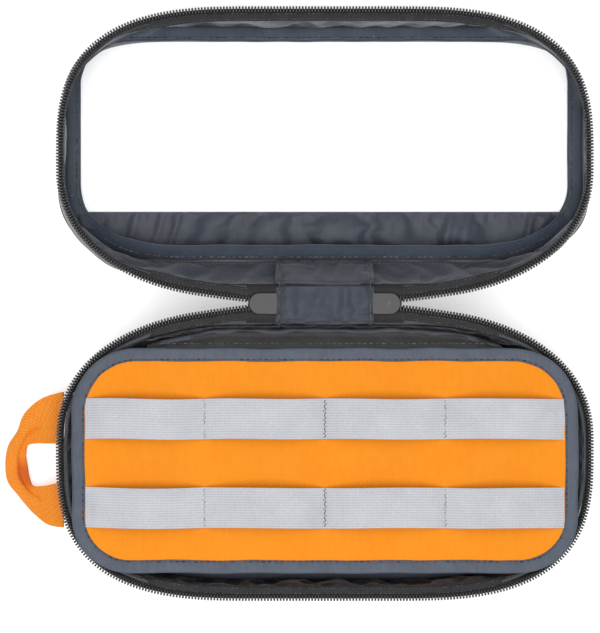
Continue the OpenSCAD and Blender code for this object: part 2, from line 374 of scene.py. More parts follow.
class Finish:
    """A material being made: node() adds any node, and done() connects the surface."""

    def __init__(self, name, **uniform):
        self.material = bpy.data.materials.new(name)
        self.material.use_nodes = True
        self.tree = self.material.node_tree
        self.tree.nodes.clear()
        self.shader = self.tree.nodes.new("ShaderNodeBsdfPrincipled")
        output = self.tree.nodes.new("ShaderNodeOutputMaterial")
        self.tree.links.new(self.shader.outputs[0], output.inputs[0])
        for socket, value in uniform.items():
            self.shader.inputs[socket.replace("_", " ")].default_value = value

    def node(self, kind, settings=None, sockets=None, out=0):
        made = self.tree.nodes.new(kind)
        for key, value in (settings or {}).items():
            setattr(made, key, value)
        for key, value in (sockets or {}).items():
            if isinstance(value, Wire):
                self.tree.links.new(value.socket, made.inputs[key])
            else:
                made.inputs[key].default_value = value
        return Wire(self, made.outputs[out])

    def cloth_place(self):
        """Two wires: millimetres along and across the cloth."""
        uv = self.node("ShaderNodeUVMap", {"uv_map": "cloth"})
        split = {"Vector": uv}
        return [self.node("ShaderNodeSeparateXYZ", None, split, k) for k in ("X", "Y")]

    def noise(self, size, detail=2.0, roughness=0.5, stretch=(1, 1, 1)):
        """Cloudy values from 0 to 1 with patches of about that size in millimetres."""
        place = self.node("ShaderNodeTexCoord", None, None, "Object")
        scaled = self.node("ShaderNodeVectorMath", {"operation": "MULTIPLY"},
                           {0: place, 1: [1000 / size * s for s in stretch]})
        return self.node("ShaderNodeTexNoise", None, {"Vector": scaled, "Scale": 1.0, "Detail": detail,
                                                      "Roughness": roughness})

    def blend(self, amount, a, b):
        """Colour a where amount is 0 and b where it is 1."""
        return self.node("ShaderNodeMix", {"data_type": "RGBA", "clamp_factor": True},
                         {0: amount, 6: a, 7: b}, 2)

    def done(self, colour=None, roughness=None, height=None, relief=0.2, **more):
        if height is not None:
            more["Normal"] = self.node("ShaderNodeBump", None, {"Height": height, "Distance": relief * MM,
                                                                "Strength": 1.0})
        for key, value in {"Base Color": colour, "Roughness": roughness, **more}.items():
            if isinstance(value, Wire):
                self.tree.links.new(value.socket, self.shader.inputs[key])
            elif value is not None:
                self.shader.inputs[key].default_value = value
        return self.material


# %% [markdown]
# ## Fabrics
# Every fabric here is a weave: threads go over and under each other at a pitch of about a millimetre.
# The product of two sine waves is that checker of crowns and hollows. It drives the colour (hollows are
# darker), the roughness (crowns are rubbed smoother) and the bump. Larger noise adds handling marks.


# %% Woven cloth
def woven(name, light, dark, pitch=1.1, rough=0.7, relief=0.12, sheen=0.2, patch=0.35, lint=0.0, twill=False,
          flow=9,
          fold=None, painted_shade_edge=None):
    """A woven cloth: light thread crowns, dark hollows, slow patches of shade, a few specks of lint, and
    optional painted shade past a fold or towards a seam.
    """
    f = Finish(name, Sheen_Weight=sheen, Sheen_Roughness=0.45, Specular_IOR_Level=0.35)
    u, v = f.cloth_place()
    if twill:
        thread = ((u + v) * (TURN / pitch)).sine() * 0.36 + ((u - v)
                                                             * (TURN / pitch / 2)).sine() * 0.14 + 0.5
    else:
        thread = (u * (TURN / pitch)).sine() * (v * (TURN / pitch)).sine() * 0.5 + 0.5
    slubs = f.noise(1.6, 2, 0.6, (1, 0.25, 1))
    slow = f.noise(flow, 3, 0.55)
    cloudy = (slow - 0.5) * patch
    shade = (thread * 0.55 + slubs * 0.35 + cloudy + 0.05).clipped()
    colour = f.blend(shade, srgb(*dark), srgb(*light))
    if lint:
        specks = (f.noise(1.2, 0) > 1 - lint) * 0.45
        colour = f.blend(specks, colour, srgb(196, 198, 204))
    # Painted shade: beyond a line across the cloth, over a stretch along it, the colour turns darker,
    # standing in for the shadow past a fold.
    if fold:
        inside = ((v - fold[0]) / 0.8).clipped() * ((u - fold[2]) / 8).clipped() * ((fold[3] - u)
                                                                                    / 8).clipped()
        colour = f.blend(inside * 0.75, colour, srgb(*fold[1]))
    # Painted shade: below a wavy line across the cloth the colour darkens to near black, standing in for the
    # shadow under a standing seam.
    if painted_shade_edge:
        wear_and_painted_shade = (v + f.noise(19, 1) * 5.0 - painted_shade_edge) / 5.0
        colour = f.blend((1 - wear_and_painted_shade.clipped()) * 0.8, colour, srgb(24, 23, 26))
    bend = f.noise(flow * 0.7, 4, 0.6)
    height = thread * 0.5 + slubs * 0.3 + bend * 3.0
    return f.done(colour, (rough + 0.12 - shade * 0.2).clipped(), height, relief)


outer_fabric = woven("outer_fabric", (94, 96, 102), (38, 39, 44), 1.2, 0.62, 0.16, 0.3, 0.3)
grey_lining = woven("grey_lining", (80, 86, 99), (30, 32, 39), 0.9, 0.42, 0.14, 0.35, 0.6)
gusset_lining = woven("gusset_lining", (80, 87, 102), (30, 32, 40), 0.9, 0.42, 0.14, 0.35, 0.6)
black_lining = woven("black_lining", (42, 39, 41), (12, 11, 12), 0.9, 0.38, 0.16, 0.2, 0.6)
# A paler, bluer copy of black_lining, used for the base's wall lining.
base_cloth = woven("black_lining_paler", (66, 68, 80), (19, 19, 24), 0.9, 0.4, 0.16, 0.3, 0.6)
# This copy of grey_lining has painted shade, darker towards the lid's hinge-side binding.
painted_shade_lining = woven("grey_lining_painted_shade", (80, 86, 99), (34, 36, 44), 0.9, 0.4, 0.14, 0.35, 0.6,
                      painted_shade_edge=31.0)
strip_lining = woven("strip_lining", (78, 84, 97), (32, 34, 42), 0.9, 0.5, 0.14, 0.3, 0.5)
face_twill = woven("face_twill", (172, 174, 179), (112, 114, 120), 1.5, 0.6, 0.14, 0.2, 0.2, twill=True)
orange_fabric = woven("orange_fabric", (251, 160, 26), (238, 126, 4), 1.0, 0.8, 0.09, 0.0, 0.3, flow=24)
# The fold colour (204, 84, 22) is painted shade on the webbing beyond its crease.
orange_webbing = woven("orange_webbing", (254, 163, 46), (232, 116, 20), 1.5, 0.7, 0.3, 0.05, 0.35,
                       twill=True,
                       fold=(6.2, (204, 84, 22), 34, 58))
panel_tape = woven("binding_tape", (94, 103, 118), (50, 57, 70), 0.7, 0.45, 0.06, 0.25, 0.35)
# This darker copy of binding_tape, for the lid's binding, is painted shade.
lid_tape_painted_shade = woven("binding_tape_shaded", (86, 97, 112), (46, 53, 64), 0.7, 0.42, 0.06, 0.25, 0.45, 0.12)
zip_tape = woven("zip_tape", (52, 50, 53), (11, 10, 12), 1.3, 0.62, 0.2, 0.2, 0.4)
print("woven finishes:", len(bpy.data.materials))

# %% [markdown]
# Elastic is a different cloth: rubber threads run lengthwise under a knit of white yarn, so it shows
# fine ribs and a soft white edge. The ribs themselves are modelled; the shader adds the yarn across.


# %% Elastic, thread, coil, metal and window
def elastic_finish():
    f = Finish("elastic", Sheen_Weight=0.3, Sheen_Roughness=0.4)
    u, v = f.cloth_place()
    yarn = (u * (TURN / 0.9)).sine() * 0.5 + 0.5
    rib = (v * (TURN / 1.33)).sine() * 0.5 + 0.5
    fuzz = f.noise(1.1, 3, 0.7)
    shade = (yarn * 0.25 + rib * 0.35 + fuzz * 0.6 + (f.noise(14, 2) - 0.5) * 0.4).clipped()
    return f.done(f.blend(shade, srgb(160, 162, 170), srgb(212, 214, 219)), 0.75 - fuzz * 0.15,
                  yarn * 0.4 + fuzz * 0.7, 0.12)


def thread_finish(name, light, dark):
    f = Finish(name, Sheen_Weight=0.3)
    tone = f.noise(2.4, 1)
    return f.done(f.blend(((tone - 0.35) * 3).clipped(), srgb(*dark), srgb(*light)), 0.5 + tone * 0.1,
                  f.noise(0.4, 1), 0.05)


def coil_finish():
    f = Finish("zip_coil", Specular_IOR_Level=0.7, Coat_Weight=1.0, Coat_Roughness=0.14)
    worn = f.noise(0.9, 2, 0.6)
    return f.done(f.blend(((worn - 0.4) * 2).clipped(), srgb(13, 12, 14), srgb(50, 50, 54)),
                  0.26 + worn * 0.2,
                  f.noise(0.5, 1), 0.03)


def metal_finish():
    f = Finish("zip_metal", Coat_Weight=0.4, Coat_Roughness=0.25)
    grain = f.noise(0.7, 3, 0.6)
    wear_and_painted_shade = ((f.noise(2.5, 3, 0.7) - 0.62) * 6).clipped()
    colour = f.blend(wear_and_painted_shade * 0.6, srgb(42, 42, 46), srgb(104, 105, 110))
    return f.done(colour, 0.34 + grain * 0.16, grain, 0.03, Metallic=wear_and_painted_shade * 0.5 + 0.05)


def window_finish():
    """Soft clear vinyl: almost all light goes straight through, with slow ripples in its gloss."""
    f = Finish("clear_window", Specular_IOR_Level=0.5)
    haze = f.noise(70, 2, 0.5, (1, 0.25, 1))
    edge = f.node("ShaderNodeLayerWeight", None, {"Blend": 0.25}, "Facing")
    return f.done(srgb(238, 240, 242), 0.16 + haze * 0.12, f.noise(38, 1, 0.4, (1, 0.3, 1)), 0.5,
                  Alpha=(0.1 + haze * 0.12 + edge * 0.35).clipped())


elastic = elastic_finish()
# The light tone of this near-black thread is a painted highlight, laid on the stitches in random patches.
dark_thread = thread_finish("thread_dark", (92, 94, 102), (8, 8, 11))
grey_thread = thread_finish("thread_grey", (150, 153, 160), (58, 60, 66))
pale_thread = thread_finish("thread_pale", (206, 200, 188), (120, 112, 100))
amber_thread = thread_finish("thread_amber", (250, 176, 80), (220, 120, 30))
zip_coil = coil_finish()
zip_metal = metal_finish()
clear_window = window_finish()
print("finishes:", len(bpy.data.materials))


def dress(obj, material, slot, body=None, *replaced):
    """Puts a finish on a piece, and gives it a body in place of the CAD nodes named; slot is not used."""
    obj.data.materials.clear()
    obj.data.materials.append(material)
    if body:
        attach(obj, body)
    if replaced:
        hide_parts(*replaced)
    return obj


# %% [markdown]
# ## Sewing and settling
# Lining is cut a little larger than the frame it is sewn into, so it buckles into soft folds. That is
# what the cloth simulation does here: the sewn edges are pinned, the cloth grows by a few hundredths,
# and it settles for a few steps without gravity. All pieces settle in the same run. The cloth is
# simulated ten times larger, because the solver likes edges of centimetres better than millimetres.

# %% The simulation
settling = []
lowest = {}
SIM_SCALE = 10
SIM_FRAMES = 14


def will_settle(obj, rows, cols, grow, cap, sides=False):
    """Notes a grid for the simulation. Its end rows are sewn down, and its side columns too if sides."""
    index = np.arange(rows * cols).reshape(rows, cols)
    pinned = [index[0], index[-1]]
    if sides:
        pinned += [index[:, 0], index[:, -1]]
    settling.append((obj, np.unique(np.concatenate(pinned)), grow, cap))


def settle():
    """Runs the cloth simulation on the noted pieces, and keeps each point within its cap."""
    before = {}
    for obj, pinned, grow, cap in settling:
        co = np.zeros(len(obj.data.vertices) * 3, np.float32)
        obj.data.vertices.foreach_get("co", co)
        before[obj.name] = co.reshape(-1, 3)
        obj.data.vertices.foreach_set("co", co * SIM_SCALE)
        group = obj.vertex_groups.new(name="sewn")
        group.add(pinned.tolist(), 1.0, "REPLACE")
        cloth = obj.modifiers.new("cloth", "CLOTH")
        fabric = cloth.settings
        fabric.quality, fabric.mass, fabric.air_damping = 5, 0.2, 2
        fabric.tension_stiffness = fabric.compression_stiffness = 12
        fabric.shear_stiffness, fabric.bending_stiffness = 4, 0.4
        fabric.effector_weights.gravity = 0
        fabric.vertex_group_mass, fabric.shrink_min = "sewn", -grow
        cloth.point_cache.frame_end = SIM_FRAMES
        order = list(obj.modifiers)
        if len(order) > 1:
            obj.modifiers.move(len(order) - 1, 0)
        for other in order[:-1]:
            other.show_viewport = False
    for step in range(1, SIM_FRAMES + 1):
        scene.frame_set(step)
    graph = bpy.context.evaluated_depsgraph_get()
    for obj, _, _, cap in settling:
        mesh = obj.evaluated_get(graph).data
        co = np.zeros(len(mesh.vertices) * 3, np.float32)
        mesh.vertices.foreach_get("co", co)
        moved = co.reshape(-1, 3) / SIM_SCALE - before[obj.name]
        far = np.linalg.norm(moved, axis=1, keepdims=True)
        kept = moved * (np.tanh(far / (cap * MM)) * cap * MM / np.maximum(far, 1e-9))
        obj.modifiers.remove(obj.modifiers["cloth"])
        obj.vertex_groups.clear()
        settled = before[obj.name] + kept
        settled[:, 2] = np.maximum(settled[:, 2], lowest.get(obj.name, 0.0) * MM)
        obj.data.vertices.foreach_set("co", settled.astype(np.float32).ravel())
        obj.data.update()
        for other in obj.modifiers:
            other.show_viewport = True
        print(f"{obj.name} settled by up to {far.max() * 1000:.1f} mm")
    scene.frame_set(1)


# %% [markdown]
# ## The outer trays
# Each tray's wall is one band of outer fabric between the zipper and the face. A sewn tray is never a
# box: the wall bellies out between its two seams, most in the loose corners beside the hinge, where
# the fabric stands out past the zipper. The base is backed with foam, so it bellies less.

# %% Walls
WALL_ROWS = 15
TAPE_Z = 26.6


def belly(amount, corner, seed):
    """How far the wall stands out at a place round the tray and a height from 0 to 1."""

    def out(ring, up):
        near_corner = np.exp(-(((np.abs(ring[:, 0]) - 106) / 17) ** 2)) * (ring[:, 1] < 60)
        uneven = waves(ring, 55, seed) * 0.5 + waves(ring, 21, seed + 1) * 0.35
        swell = math.sin(math.pi * min(1, up * 0.94 + 0.06)) ** 0.8
        return (amount * (1 + uneven) + corner * near_corner) * swell + waves(ring + up * 20, 30,
                                                                              seed + 2) * 0.25

    return out


def piping(name, half, seam):
    """The raised seam where the wall meets the face: two fabrics turned in and top-stitched."""
    profile = [(4.2 + 1.15 * math.cos(a), 1.35 + 1.15 * math.sin(a)) for a in round_turn(8)]
    obj = grid(name, rings(profile, seam, wobble=0.25, seed=8), half, loop=True, tube=True)
    return dress(obj, outer_fabric, "outer_fabric", half)


base_wall = grid("base_wall", wall_rows(4, 1.2, TAPE_Z, WALL_ROWS, belly(2.0, 1.6, 11)), "base", loop=True)
thicken(refine(base_wall), 1.6)
dress(base_wall, outer_fabric, "outer_fabric", "base", "base_wall_fabric", "base_wall_foam")
lid_wall = grid("lid_wall", wall_rows(4, 1.2, TAPE_Z, WALL_ROWS, belly(1.0, 3.2, 21), "lid_outer"), "lid",
                loop=True)
thicken(refine(lid_wall), 0.6)
dress(lid_wall, outer_fabric, "outer_fabric", "lid", "lid_wall_fabric")
piping("base_bottom_seam", "base", "face")
piping("lid_face_seam", "lid", "lid_outer")


# %% [markdown]
# ## Faces
# The base's bottom is a foam board in fabric. The lid's face is a frame of fabric round the window. A
# ring of columns from the seam to the opening follows both outlines at once.


# %% Flat faces
def edges_at(shape, inset, x):
    """The near and far edge of an outline at each x."""
    ring = outline(*SHAPES[shape], inset)
    near = ring[ring[:, 1] < ring[:, 1].min() + SHAPES[shape][1][2] - inset + 0.01]
    far = ring[ring[:, 1] > ring[:, 1].max() - SHAPES[shape][2][2] + inset - 0.01]
    return [np.interp(x, part[np.argsort(part[:, 0]), 0], part[np.argsort(part[:, 0]), 1])
            for part in (near, far)]


def fill(name, shape, inset, z, half, lift=None):
    """A filled outline as a lattice, with an optional lift that fades out at the edges."""
    reach = outline(*SHAPES[shape], inset)[:, 0].max()
    x = reach * np.sin(np.linspace(-math.pi / 2, math.pi / 2, 141))
    near, far = edges_at(shape, inset, x)
    rows = []
    for share in 0.5 - 0.5 * np.cos(np.linspace(0, math.pi, 44)):
        place = with_z(np.column_stack([x, near + (far - near) * share]), z)
        if lift is not None:
            inside = np.minimum(np.minimum(place[:, 1] - near, far - place[:, 1]), reach - np.abs(x))
            place[:, 2] += lift(place) * np.clip((inside - 6) / 8, 0, 1)
        rows.append(place)
    return grid(name, rows, half, planar=True)


def ring_face(name, outer, inner, z, half):
    """A frame of cloth between two outlines."""
    a, b = trace(*outer, WALL_STEPS), trace(*inner, WALL_STEPS)
    rows = [with_z(a + (b - a) * share, z) for share in np.linspace(0, 1, 8)]
    return grid(name, rows, half, loop=True, planar=True)


bottom = thicken(fill("base_bottom", "face", 4.4, 0.9, "base"), 0.8)
dress(bottom, outer_fabric, "outer_fabric", "base", "base_bottom_fabric", "base_bottom_foam")
lid_face = thicken(ring_face("lid_face", ("lid_outer", 4.4), ("opening", 13.2), 0.75, "lid"), 0.7)
dress(lid_face, face_twill, "outer_fabric", "lid", "lid_face_fabric")
floor_lining = fill("base_floor", "face", 8.4, 4.0, "base", lambda at: 0.5 + 0.3 * waves(at, 40, 5))
dress(floor_lining, orange_fabric, "orange_fabric", "base", "base_floor_lining")

# %% [markdown]
# ## Linings
# The linings are the softest cloth in the pouch, and their folds catch the light. Each starts as a
# smooth band with a little seeded unevenness, which tells the simulation where to begin to buckle.

# %% Wall linings and the lid's lower panel
LINING_ROWS = 13


def lining_wall(name, inset, low, half, grow, cap, material, slot, body, node, seed, seam="face"):
    rows = wall_rows(inset, low, TAPE_Z, LINING_ROWS, seam=seam)
    outer_rows = wall_rows(4.2, low, TAPE_Z, LINING_ROWS, seam=seam)
    climb = np.linspace(0, 1, LINING_ROWS)[:, None, None] ** 2
    rows += (outer_rows - rows) * climb * (1 - lying(rows[..., :1]))
    push = np.sin(np.linspace(0, math.pi, LINING_ROWS))[:, None] * waves(rows, 13, seed) * 0.35
    inward = trace("rim", inset + 1, WALL_STEPS) - trace("rim", inset, WALL_STEPS)
    rows[..., :2] += push[..., None] * inward[None]
    obj = grid(name, rows, half, loop=True)
    will_settle(obj, LINING_ROWS, WALL_COLUMNS, grow, cap)
    return dress(refine(obj), material, slot, body, node)


lid_lining = lining_wall("lid_gusset", 5.6, 1.6, "lid", 0.06, 1.7, gusset_lining, "grey_lining", "lid",
                         "lid_wall_lining", 31, "lid_seam")
base_lining = lining_wall("base_lining", 6.9, 5.0, "base", 0.1, 2.2, base_cloth, "black_lining", "base",
                          "base_wall_lining", 41)

PANEL_COLS, PANEL_ROWS = 161, 22
across = np.linspace(-1, 1, PANEL_COLS)
lower_rows = []
for share in np.linspace(0, 1, PANEL_ROWS):
    v = 22.5 + 24.0 * share
    reach = 108 + 16.5 * min(1, share * 1.5) ** 0.6
    x = across * reach
    lower_rows.append(np.column_stack([x, np.full_like(x, v), np.full_like(x, 2.6 - 0.7 * (1 - share))]))
lower_rows = np.array(lower_rows)
slack = np.sin(np.linspace(0, math.pi, PANEL_ROWS))[:, None]
lower_rows[..., 2] += slack * (1.1 + 1.3 * waves(lower_rows * [1, 0.35, 0], 22, 53))
for fold_x in (-97, -84, -76, 62, 71, 103):
    lean = fold_x + (lower_rows[..., 1] - 36) * 0.25
    lower_rows[..., 2] += slack * 1.5 * np.exp(-(((lower_rows[..., 0] - lean) / 2.6) ** 2))
lower = grid("lid_lower_lining", lower_rows, "lid", planar=True)
lowest["lid_lower_lining"] = 1.75
will_settle(lower, PANEL_ROWS, PANEL_COLS, 0.07, 2.0, sides=True)
refine(lower)
dress(lower, painted_shade_lining, "grey_lining", "lid", "lid_strip_lining")

# %% [markdown]
# ## The clear window
# The window is a sheet of soft vinyl sewn under the binding. It lies almost flat, with slow ripples
# that only its gloss shows.

# %% Window
window = thicken(fill("lid_window_sheet", "window", 9.6, 1.15, "lid", lambda at: 0.25 * waves(at, 60, 6)),
                 0.4)
dress(window, clear_window, "clear_window", "lid", "lid_window")

# %% [markdown]
# ## Bindings
# A binding is a folded tape that hides the raw edges of a seam. Its section is a flat loop with soft
# edges, swept round the outline, with a row of stitches near the edge that closes it.


# %% Binding tape and its stitches
def tape_section(outer, width, low, height):
    """The section of a folded tape: (inset, z) pairs round its edge."""
    inner, top, roll = outer + width, low + height, 0.9
    return [(outer + roll, low), (outer, low + height * 0.5), (outer + roll * 0.5, top - 0.12),
            (outer + roll * 1.4, top + 0.1), (outer + width * 0.5, top), (inner - roll * 1.9, top - 0.05),
            (inner - roll * 1.5, top - 0.28), (inner - roll * 1.1, top - 0.05), (inner - roll * 0.5, top),
            (inner, low + height * 0.5), (inner - roll, low), (outer + width * 0.5, low - 0.02),
            (outer + roll * 1.3, low)]


def fin(v, share):
    """How high the lid's binding stands beside the hinge; share is 0 at its outer edge."""
    return np.clip((44 - v) / 14, 0, 1) * (2.0 + 8.0 * np.clip(share, 0, 1))


def held_in(rows):
    """Rows of the lid's binding that would pass through the wall climb up it instead."""
    wall = trace("lid_outer", 4.6, WALL_STEPS)
    outward = wall - trace("lid_outer", 5.6, WALL_STEPS)
    flat = rows.reshape(-1, 3)
    nearest = ((flat[:, None, :2] - wall[None]) ** 2).sum(2).argmin(1)
    out = ((flat[:, :2] - wall[nearest]) * outward[nearest]).sum(1).clip(0)
    flat[:, :2] -= out[:, None] * outward[nearest]
    flat[:, 2] += out * 1.4
    return flat.reshape(rows.shape)


def binding(name, shape, outer, width, low, height, half, material, body, nodes, seed):
    steps = WALL_STEPS if shape != "panel" else even_steps("panel", 360)[0]
    section = tape_section(outer, width, low, height)
    rows = rings(section, shape, steps, wobble=0.28, seed=seed)
    rows[..., 2] += 0.16 * waves(rows[..., :2], 9, seed + 1)
    if half == "lid":
        shares = (np.array(section)[:, 0] - outer) / width
        rows[..., 2] += fin(rows[..., 1].mean(0)[None], shares[:, None])
        rows = held_in(rows)
    obj = refine(grid(name, rows, half, loop=True))
    return dress(obj, material, "binding_tape", body, *nodes)


def outline_path(shape, inset, z, near_inset=None, rise=0.0):
    """A path round an outline; near_inset is used beside the hinge, with a gentle change between them."""
    steps, _ = even_steps(shape, 500)
    a = trace(shape, inset, steps)
    if near_inset is not None:
        b = trace(shape, near_inset, steps)
        share = np.clip((46 - a[:, 1]) / 16, 0, 1)[:, None]
        a = a * (1 - share) + b * share
    return np.column_stack([a, z + rise * fin(a[:, 1], 0.32)])


lid_binding = binding("lid_binding", "lid_binding", 5.7, 8.0, 1.7, 1.3, "lid", lid_tape_painted_shade, "lid",
                      ["lid_seam_binding"], 61)
floor_binding = binding("base_floor_binding", "face", 7.3, 7, 4.6, 1.2, "base", panel_tape, "base",
                        ["base_seam_binding"], 62)
lid_stitches = stitch_row("lid_binding_stitches",
                          outline_path("lid_binding", 11.6, 3.1, near_inset=7.6, rise=1.0), "lid",
                           2.9, 2.3, 0.8, 0.45, loop=True)
dress(lid_stitches, dark_thread, "thread", "lid")
floor_stitches = stitch_row("floor_binding_stitches", outline_path("face", 12.9, 5.8), "base", 3.0,
                            loop=True)
dress(floor_stitches, dark_thread, "thread", "base")

# %% [markdown]
# ## The zipper
# A coil zipper is one nylon thread wound into loops and sewn to the edge of a woven tape. From the
# inside its loops look like the teeth of a comb. Each tooth is a small bent tube with a thicker head,
# copied at an even pitch. Near the sliders the two rows run together.

# %% Zipper rows
TOOTH_PITCH = 1.55
TAPE_BEND = 2.6


def zip_line(inset, z, count):
    """The zipper's path outside the sliders, drawn in toward the hinge line where it reaches them."""
    steps, _ = even_steps("rim", count)
    ring = trace("rim", inset, steps)
    if inset > TAPE_BEND:
        share = lying(ring[:, :1])
        ring = ring * share + trace("rim", TAPE_BEND, steps) * (1 - share)
        z = z - (1 - share[:, 0]) * (inset - TAPE_BEND) * 0.9
    pull = np.clip((62 - np.abs(ring[:, 0])) / 24, 0, 1) * (ring[:, 1] < 20)
    ring[:, 1] -= 1.5 * pull**1.6
    keep = (np.abs(ring[:, 0]) >= ZIP_START - 1.2) | (ring[:, 1] > 40)
    line = with_z(ring, z)[keep]
    start = int(np.argmax((line[:, 0] > 0) & (line[:, 1] < 20)))
    return np.roll(line, -start, 0)


TOOTH_WIRE = 0.43


def tooth_shape():
    """One loop of the coil, in its own plane: y is the distance in from the edge and z is up."""
    line = np.array([(3.3, 0.15), (2.3, 0.95), (1.2, 1.12), (0.35, 0.85), (0.0, 0.15), (0.35, -0.6),
                     (1.2, -0.95),
                     (2.4, -1.0)])
    sizes = [0.8, 0.95, 1.0, 1.3, 1.45, 1.3, 1.0, 0.9]
    turn = round_turn(6)
    direction = np.gradient(line, axis=0)
    direction /= np.linalg.norm(direction, axis=1, keepdims=True)
    out = []
    for (y, z), (dy, dz), size in zip(line, direction, sizes):
        r = TOOTH_WIRE * size
        out.append(np.column_stack([r * np.sin(turn), y - dz * r * np.cos(turn), z + dy * r * np.cos(turn)]))
    return loft(out)


def zipper_row(half):
    """The teeth, the tape and the tape's sewing for one tray."""
    count = int(RIM_LENGTH / TOOTH_PITCH)
    path = zip_line(0.15, 26.75, count)
    along, across, up = seam_axes(path)
    shape, faces = tooth_shape()
    teeth = copies(f"{half}_zip_teeth", shape, faces, path, along, across, up, half)
    dress(teeth, zip_coil, "zip_coil", half, f"{half}_zip_coil")
    profile = [(0.9, 25.95), (0.9, 26.3), (2.6, 26.75), (3.4, 27.05), (5.2, 27.0), (6.9, 26.95), (7.1, 26.5),
               (5.0, 26.35)]
    rows = [zip_line(inset, z, 360) for inset, z in profile]
    length = min(len(r) for r in rows)
    rows = np.array([r[:length] for r in rows])
    rows[..., 2] += 0.12 * waves(rows[..., :2], 12, 71)
    tape = grid(f"{half}_zip_tape_sewn", rows, half, tube=True)
    dress(tape, zip_tape, "zip_tape", half, f"{half}_zip_tape")
    for number, inset in enumerate((3.5, 6.2)):
        thread = stitch_row(f"{half}_zip_stitches_{number}", zip_line(inset, 27.1, 500), half, 2.2, 1.7,
                            0.32, 0.22)
        dress(thread, dark_thread, "thread", half)
    return tape


tapes = {tray: zipper_row(tray) for tray in ("base", "lid")}
print("teeth per tray:", int(RIM_LENGTH / TOOTH_PITCH))

# %% [markdown]
# ## The organizer panel
# The panel is a thin board between two fabrics, bound round its edge. The front is a bright woven
# fabric that puckers slightly where the elastic bands are sewn through it.

# %% Panel
FEET = [-115, -59, 0, 59, 115]
BANDS = {"upper": 56.5, "lower": 100.0}
PANEL_FRONT = 29.55


def pucker(at):
    """The front's unevenness: slow waves, and a dip round each row of divider stitches."""
    lift = 0.12 * waves(at, 34, 81) + 0.06 * waves(at, 11, 82)
    for foot in FEET[1:-1]:
        for v in BANDS.values():
            lift -= 0.16 * np.exp(-(((at[:, 0] - foot) / 5) ** 2) - ((at[:, 1] - v) / 11) ** 4)
    return lift + 0.15


front = refine(fill("panel_front", "panel", 1.2, PANEL_FRONT + 0.05, "base", pucker))
dress(front, orange_fabric, "orange_fabric", "organizer_panel", "panel_front_fabric", "panel_board")
back = fill("panel_back", "panel", 1.2, 28.45, "base")
dress(back, grey_lining, "grey_lining", "organizer_panel", "panel_back_fabric")
panel_edge = binding("panel_binding_tape", "panel", 0, 7, 28.3, 1.75, "base", panel_tape, "organizer_panel",
                     ["panel_binding"], 83)
panel_stitches = stitch_row("panel_binding_stitches", outline_path("panel", 6.0, 30.1), "base", 3.0,
                            loop=True)
dress(panel_stitches, dark_thread, "thread", "organizer_panel")


# %% [markdown]
# ## Elastic bands
# Each band is sewn down at five feet, so it makes four loops. An empty loop arches a little. The ribs
# are real: the band's section has fifteen of them, and its two selvedges are slightly thicker.


# %% Bands and their divider stitches
def band_height(x):
    """How high the band stands over the panel at x: low at a foot, and an arch between two feet."""
    x = np.asarray(x, float)
    out = np.zeros_like(x)
    for a, b in zip(FEET[:-1], FEET[1:]):
        share = np.clip((x - a) / (b - a), 0, 1)
        out = np.where((x >= a) & (x <= b), 5.6 * (1 - (2 * share - 1) ** 2) ** 0.85, out)
    return out


def elastic_band(name, v, node, seed):
    ribs, width = 15, 20.0
    cross = np.linspace(-0.5, 0.5, ribs * 4 + 1)
    rise = 0.1 * np.cos(cross * ribs * TURN)
    rise += 0.14 * np.exp(-(((np.abs(cross) - 0.485) / 0.02) ** 2))
    x = np.concatenate([np.linspace(-118.8, -115, 4)[:-1], np.linspace(-115, 115, 189),
                        np.linspace(115, 118.8, 4)[1:]])
    height = band_height(x)
    bow = 0.35 * waves(x[:, None], 60, seed) - 0.25 * height / 5.6
    rows = []
    for share, lump in zip(cross, rise):
        edge = share * width * (1 - 0.012 * height / 5.6)
        tuck = 0.75 * np.clip((np.abs(x) - 116.0) / 1.4, 0, 1)
        z = PANEL_FRONT + 0.75 - tuck + height * (1 - 0.16 * (2 * share) ** 2) + lump
        rows.append(np.column_stack([x, v + edge + bow, z]))
    rows = np.array(rows)
    rows[..., 2] += 0.12 * waves(rows[..., :2], 15, seed + 1)
    obj = thicken(grid(name, rows, "base"), 0.6)
    dress(obj, elastic, "elastic", "organizer_panel", node)
    for number, foot in enumerate(FEET[1:-1]):
        zig = np.arange(0, 19.5, 1.1)
        path = np.column_stack([foot + 0.55 * (-1) ** np.arange(len(zig)), v - 9.4 + zig,
                                np.full(len(zig), PANEL_FRONT + 1.15)])
        thread = stitch_row(f"{name}_divider_{number}", path, "base", 1.15, 0.95, 0.42, 0.32)
        dress(thread, dark_thread if number == 1 else pale_thread, "thread", "organizer_panel")


elastic_band("upper_elastic", BANDS["upper"], "upper_elastic_band", 91)
elastic_band("lower_elastic", BANDS["lower"], "lower_elastic_band", 95)

# %% [markdown]
# ## Cloth across the folds
# Two pieces cross a fold. The flap ties the panel to the base, and the hinge strip joins the trays.

